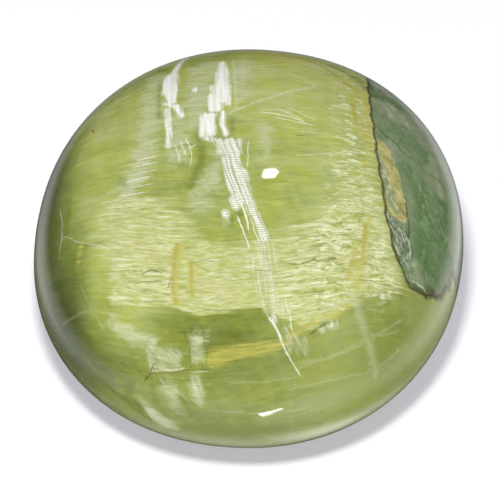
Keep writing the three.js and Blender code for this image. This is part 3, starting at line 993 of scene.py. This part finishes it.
def rock_colour(tree, patterns, colours):
    """Host rock: grey-green, cloudy and veined, with emerald patches, a yellow lens and dark cracks."""
    clouds = add_node(tree, "ShaderNodeMix", {"data_type": "RGBA"},
                      {"Factor": patterns["marble"], "A": (*colours.rock, 1), "B": (*colours.rock_pale, 1)})
    ground = paint_over(tree, clouds, ROCK_MOTTLING, patterns["mottle"], (colours.rock_dark, colours.rock))
    marked = lay_over(tree, ground, ROCK_LAYERS, patterns, colours)
    return draw_lines(tree, marked, ROCK_LINES, patterns, colours)


# The seam is whole up to the first distance from the rock's edge in mm, and gone at the second
SEAM_HEART, SEAM_EDGE = 0.005, 0.06
SEAM_COVER = 0.9
SEAM_WOBBLE = 0.035  # mm that noise moves that edge
SEAM_DEPTH, SEAM_RELIEF = 0.02 * MM, 0.3  # of its groove, and how strongly that shows

# The polish: gloss as roughness, from the brightest places to the dullest. The index is common opal's.
GLOSS_HIGH, GLOSS_LOW = 0.02, 0.06
OPAL_INDEX = 1.45
# The milkiness under it: how much of the light goes in, how far each colour goes, and over what distance
MILKINESS, MILK_REACH, MILK_DISTANCE = 0.15, (1.0, 0.9, 0.35), 0.4 * MM


def polished_opal(colours):
    """Common opal with its host rock, domed and polished: glossy, and a little milky under the surface."""
    material = bpy.data.materials.new("polished_fibrous_opal")
    material.use_nodes = True
    tree = material.node_tree
    tree.nodes.clear()
    patterns = grain_patterns(tree)

    shaken = add_node(tree, "ShaderNodeMath", {"operation": "MULTIPLY_ADD"},
                      {0: patterns["ragged"], 1: SEAM_WOBBLE, 2: read_field(tree, "rock")})
    rock_edge = add_node(tree, "ShaderNodeMath", {"operation": "SUBTRACT"},
                         {0: shaken, 1: SEAM_WOBBLE / 2})
    rock_cover = add_node(tree, "ShaderNodeMapRange", {"interpolation_type": "SMOOTHSTEP"},
                          {"Value": rock_edge, "From Min": -SEAM_HEART, "From Max": SEAM_HEART})
    colour = add_node(tree, "ShaderNodeMix", {"data_type": "RGBA"},
                      {"Factor": rock_cover, "A": opal_colour(tree, patterns, colours),
                       "B": rock_colour(tree, patterns, colours)})

    # the dark seam between them is a shallow groove
    off_seam = add_node(tree, "ShaderNodeMath", {"operation": "ABSOLUTE"}, {0: rock_edge})
    seam = add_node(tree, "ShaderNodeMapRange", {"interpolation_type": "SMOOTHSTEP"},
                    {"Value": off_seam, "From Min": SEAM_EDGE, "From Max": SEAM_HEART,
                     "To Min": 0.0, "To Max": SEAM_COVER})
    colour = add_node(tree, "ShaderNodeMix", {"data_type": "RGBA"},
                      {"Factor": seam, "A": colour, "B": (*colours.seam, 1)})
    groove = add_node(tree, "ShaderNodeMath", {"operation": "MULTIPLY"}, {0: seam, 1: -1.0})
    relief = add_node(tree, "ShaderNodeBump", {},
                      {"Strength": SEAM_RELIEF, "Distance": SEAM_DEPTH, "Height": groove})

    gloss = add_node(tree, "ShaderNodeMapRange", {},
                     {"Value": patterns["cloud"], "To Min": GLOSS_HIGH, "To Max": GLOSS_LOW})
    shader = add_node(tree, "ShaderNodeBsdfPrincipled", {}, {
        "Base Color": colour, "Roughness": gloss, "IOR": OPAL_INDEX, "Normal": relief,
        "Subsurface Weight": MILKINESS, "Subsurface Radius": MILK_REACH, "Subsurface Scale": MILK_DISTANCE})
    add_node(tree, "ShaderNodeOutputMaterial", {}, {"Surface": shader})
    return material


def length_setting(name, description, default):
    """A length for the sidebar."""
    return FloatProperty(name=name, description=description, default=default, subtype="DISTANCE",
                         unit="LENGTH")


def angle_setting(name, description, default):
    """An angle for the sidebar, whose default is given in degrees."""
    return FloatProperty(name=name, description=description, default=math.radians(default), subtype="ANGLE",
                         unit="ROTATION")


class StoneForm(bpy.types.PropertyGroup):
    """The sizes of the stone"""
    width: length_setting("Width", "Across the stone", STONE_HIGH.x - STONE_LOW.x)
    length: length_setting("Length", "Along the stone", STONE_HIGH.y - STONE_LOW.y)
    height: length_setting("Height", "From the base to the crown", STONE_HIGH.z - STONE_LOW.z)
    girdle_height: length_setting("Girdle height", "Height of the widest level", 2.9 * MM)
    eased_edge: length_setting("Eased edge", "Reach of the round between flank and base", 0.35 * MM)
    base_share: FloatProperty(name="Base share", description="The base's width as a share of the stone's",
                              default=0.62, min=0.1, max=0.9, subtype="FACTOR")
    plan_fullness: FloatProperty(name="Plan fullness", description="2 is an ellipse, and more is fuller",
                                 default=2.12, min=1.5, max=4)
    dome_fullness: FloatProperty(name="Dome fullness", description="2 is an ellipse, and more is fuller",
                                 default=2.32, min=1.5, max=4)
    facets: IntProperty(name="Facets", description="Facets along each edge of the cube it is drawn from",
                        default=128, min=8, max=128)


def colour_setting(name, description, shade):
    """A colour for the sidebar, whose default is given as sRGB hex."""
    return FloatVectorProperty(name=name, description=description, default=linear(shade), min=0, max=1,
                               size=3, subtype="COLOR")


class StoneColours(bpy.types.PropertyGroup):
    """The colours of the stone"""
    __annotations__ = {
        name: colour_setting(name.replace("_", " ").capitalize(), "Colour of the " + what, shade)
        for name, (shade, what) in COLOURS.items()}


class StageSettings(bpy.types.PropertyGroup):
    """The floor and the camera"""
    floor_colour: colour_setting("Floor", "Colour of the plain floor", "#fdfdfd")
    floor_size: length_setting("Floor size", "Side of the square floor", 4.0)
    camera_distance: length_setting("Camera distance", "From the camera to the stone", 0.28)
    frame_width: length_setting("Frame width", "What the frame takes in at the stone", 14.26 * MM)
    azimuth: angle_setting("Azimuth", "How far the camera stands round the stone", 7.4)
    elevation: angle_setting("Elevation", "How far the camera looks down", 46)


class CABOCHON_OT_stone(bpy.types.Operator):
    """Model the polished stone in place of the CAD solid"""
    bl_idname = "cabochon.stone"
    bl_label = "Opal cabochon"

    def execute(self, context):
        mesh = shape_stone(context.scene.stone_form)
        if not mesh.polygons:
            raise RuntimeError("the stone has no faces")
        stone = bpy.data.objects.new("opal_stone", mesh)
        context.scene.collection.objects.link(stone)
        mesh.materials.append(polished_opal(context.scene.stone_colours))
        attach(stone, "root")
        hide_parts("opal_cabochon")
        return {"FINISHED"}


SENSOR_WIDTH = 36.0  # mm, of the camera
CAMERA_NEAR, CAMERA_FAR = 0.01, 10.0  # metres that it sees between
# How far the camera aims right of and below the stone's middle, which puts the stone where the frame has it
AIM_RIGHT, AIM_DOWN = 0.034 * MM, 0.311 * MM

# Lights: (name, azimuth from +Y towards +X and elevation in degrees, distance, size, turn in degrees, watts,
# whether it lights the surface or only shows in its gloss)
LIGHTS = (
    ("overhead", 177, 59.4, 0.12, (0.012, 0.012), 0, 0.119, True),
    ("window", -2.6, 49.9, 0.3, (0.0110, 0.0105), 0, 0.0140, False),
    ("window_point", -1.6, 49.6, 0.3, (0.0072, 0.0072), 45, 0.0062, False),
    ("low_bar", 161.4, -32.2, 0.3, (0.058, 0.013), 32, 0.038, False),
    ("low_glow", 164.5, -34.0, 0.3, (0.030, 0.024), 32, 0.024, False),
)
SOFT_LIGHT = 0.36  # the even light all round
FLOOR_DROP = 0.01 * MM  # keeps the floor from coinciding with the stone's base
PAPER_GLOW = 0.30  # the floor's own share of brightness, which no shadow takes away
# Like bleached paper it glows a little blue, which evens out the green light from the stone
PAPER_GLOW_COLOUR, PAPER_GLOW_STRENGTH = (0.87, 0.86, 1.0), 1.37
# What the polish mirrors all round the stone: brightness at elevations in degrees
MIRRORED = (
    (-90, 1.00), (-76, 0.70), (-65, 0.22), (-56, 0.08), (-47, 0.05), (-38, 0.28), (-27, 0.22), (-17, 0.02),
    (20, 0.05), (90, 0.25),
)
# It is brighter at the sides: (how far across, from -1 at the left to 1 at the right, share of the gain)
SIDES = ((-0.70, 0.90), (-0.35, 0.20), (0.05, 0.20), (0.38, 1.00))
SIDE_GAIN = 5.0


def direction(azimuth, elevation):
    """The unit vector at an azimuth from +Y towards +X and an elevation above the level, in radians."""
    level = math.cos(elevation)
    return Vector((math.sin(azimuth) * level, math.cos(azimuth) * level, math.sin(elevation)))


def place_facing(thing, place, target, turn=0.0):
    """Puts a light or camera at a place, looking at a target and turned about that line."""
    thing.location = place
    facing = (target - place).to_track_quat("-Z", "Y") @ Quaternion((0, 0, 1), turn)
    thing.rotation_euler = facing.to_euler()


def studio_world():
    """Even white light, a plain white ground for the camera, and a soft room for the polish to mirror."""
    world = bpy.data.worlds.new("studio")
    world.use_nodes = True
    tree = world.node_tree
    tree.nodes.clear()
    way = add_node(tree, "ShaderNodeTexCoord").outputs["Generated"]
    split_way = add_node(tree, "ShaderNodeSeparateXYZ", {}, {0: way})
    rising = [(math.sin(math.radians(elevation)), level) for elevation, level in MIRRORED]
    ramps = []
    for axis, levels in (("Z", rising), ("X", SIDES)):
        place = add_node(tree, "ShaderNodeMapRange", {},
                         {"Value": split_way.outputs[axis], "From Min": -1.0, "From Max": 1.0})
        ramp = add_node(tree, "ShaderNodeValToRGB", {}, {0: place})
        set_stops(ramp.color_ramp, [((position + 1) / 2, (level,) * 3) for position, level in levels])
        ramps.append(ramp)
    mirrored, side_share = ramps
    gain = add_node(tree, "ShaderNodeMath", {"operation": "MULTIPLY"}, {0: side_share, 1: SIDE_GAIN})
    soft = add_node(tree, "ShaderNodeBackground", {}, {"Color": (1, 1, 1, 1), "Strength": SOFT_LIGHT})
    around = add_node(tree, "ShaderNodeBackground", {}, {"Color": mirrored, "Strength": gain})
    plain = add_node(tree, "ShaderNodeBackground", {}, {"Color": (1, 1, 1, 1), "Strength": 1.0})
    rays = add_node(tree, "ShaderNodeLightPath")
    lit = add_node(tree, "ShaderNodeMixShader", {}, {0: rays.outputs["Is Glossy Ray"], 1: soft, 2: around})
    seen = add_node(tree, "ShaderNodeMixShader", {}, {0: rays.outputs["Is Camera Ray"], 1: lit, 2: plain})
    add_node(tree, "ShaderNodeOutputWorld", {}, {"Surface": seen})
    return world


def lay_floor(scene, settings):
    """A plain sheet of matt white paper, which the polish doesn't mirror. From below it is clear."""
    builder = bmesh.new()
    bmesh.ops.create_grid(builder, x_segments=1, y_segments=1, size=settings.floor_size / 2)
    mesh = bpy.data.meshes.new("floor")
    builder.to_mesh(mesh)
    builder.free()
    paper = bpy.data.materials.new("matt_white_paper")
    paper.use_nodes = True
    tree = paper.node_tree
    tree.nodes.clear()
    sheet = add_node(tree, "ShaderNodeBsdfDiffuse", {}, {"Color": (*settings.floor_colour, 1)})
    glow = add_node(tree, "ShaderNodeEmission", {},
                    {"Color": (*PAPER_GLOW_COLOUR, 1), "Strength": PAPER_GLOW_STRENGTH})
    lit = add_node(tree, "ShaderNodeMixShader", {}, {0: PAPER_GLOW, 1: sheet, 2: glow})
    side = add_node(tree, "ShaderNodeNewGeometry")
    clear = add_node(tree, "ShaderNodeBsdfTransparent")
    one_sided = add_node(tree, "ShaderNodeMixShader", {}, {0: side.outputs["Backfacing"], 1: lit, 2: clear})
    add_node(tree, "ShaderNodeOutputMaterial", {}, {"Surface": one_sided})
    mesh.materials.append(paper)
    floor = bpy.data.objects.new("floor", mesh)
    floor.location.z = -FLOOR_DROP
    scene.collection.objects.link(floor)
    floor.visible_glossy = False


class CABOCHON_OT_stage(bpy.types.Operator):
    """Set the floor, the lights and the camera round the stone"""
    bl_idname = "cabochon.stage"
    bl_label = "Studio stage"

    def execute(self, context):
        scene = context.scene
        settings = scene.stage_settings
        middle = Vector((0, 0, scene.stone_form.height / 2))
        lay_floor(scene, settings)
        scene.world = studio_world()

        for name, azimuth, elevation, distance, size, turn, power, lights_surface in LIGHTS:
            data = bpy.data.lights.new(name, "AREA")
            data.shape = "RECTANGLE"
            data.size, data.size_y = size
            data.energy = power
            light = bpy.data.objects.new(name, data)
            scene.collection.objects.link(light)
            towards = direction(math.radians(azimuth), math.radians(elevation))
            place_facing(light, middle + towards * distance, middle, math.radians(turn))
            light.visible_camera = False
            light.visible_diffuse = lights_surface
            light.visible_glossy = not lights_surface

        lens = bpy.data.cameras.new("camera")
        lens.sensor_width = SENSOR_WIDTH
        lens.lens = SENSOR_WIDTH * settings.camera_distance / settings.frame_width
        lens.clip_start, lens.clip_end = CAMERA_NEAR, CAMERA_FAR
        camera = bpy.data.objects.new("camera", lens)
        scene.collection.objects.link(camera)
        back = direction(math.pi - settings.azimuth, settings.elevation)
        right = Vector((math.cos(settings.azimuth), math.sin(settings.azimuth), 0))
        aim = middle + right * AIM_RIGHT - back.cross(right) * AIM_DOWN
        place_facing(camera, aim + back * settings.camera_distance, aim)
        scene.camera = camera
        scene.view_settings.view_transform = "Standard"
        return {"FINISHED"}


class CABOCHON_PT_panel(bpy.types.Panel):
    """The sizes, the colours and the operators"""
    bl_label = "Opal cabochon"
    bl_idname = "CABOCHON_PT_panel"
    bl_space_type = "VIEW_3D"
    bl_region_type = "UI"
    bl_category = "Cabochon"

    def draw(self, context):
        for group in (context.scene.stone_form, context.scene.stone_colours, context.scene.stage_settings):
            for name in group.__annotations__:
                self.layout.prop(group, name)
        for operator in OPERATORS:
            self.layout.operator(operator.bl_idname)


OPERATORS = (CABOCHON_OT_stone, CABOCHON_OT_stage)
CLASSES = (StoneForm, StoneColours, StageSettings, *OPERATORS, CABOCHON_PT_panel)


def register():
    """Adds the classes, and their settings to every scene."""
    for one in CLASSES:
        bpy.utils.register_class(one)
    bpy.types.Scene.stone_form = PointerProperty(type=StoneForm)
    bpy.types.Scene.stone_colours = PointerProperty(type=StoneColours)
    bpy.types.Scene.stage_settings = PointerProperty(type=StageSettings)


def unregister():
    """Takes away what register added."""
    del bpy.types.Scene.stage_settings
    del bpy.types.Scene.stone_colours
    del bpy.types.Scene.stone_form
    for one in reversed(CLASSES):
        bpy.utils.unregister_class(one)


def main():
    """Models the stone and sets the stage."""
    register()
    bpy.ops.cabochon.stone()
    bpy.ops.cabochon.stage()


if __name__ == "__main__":
    main()
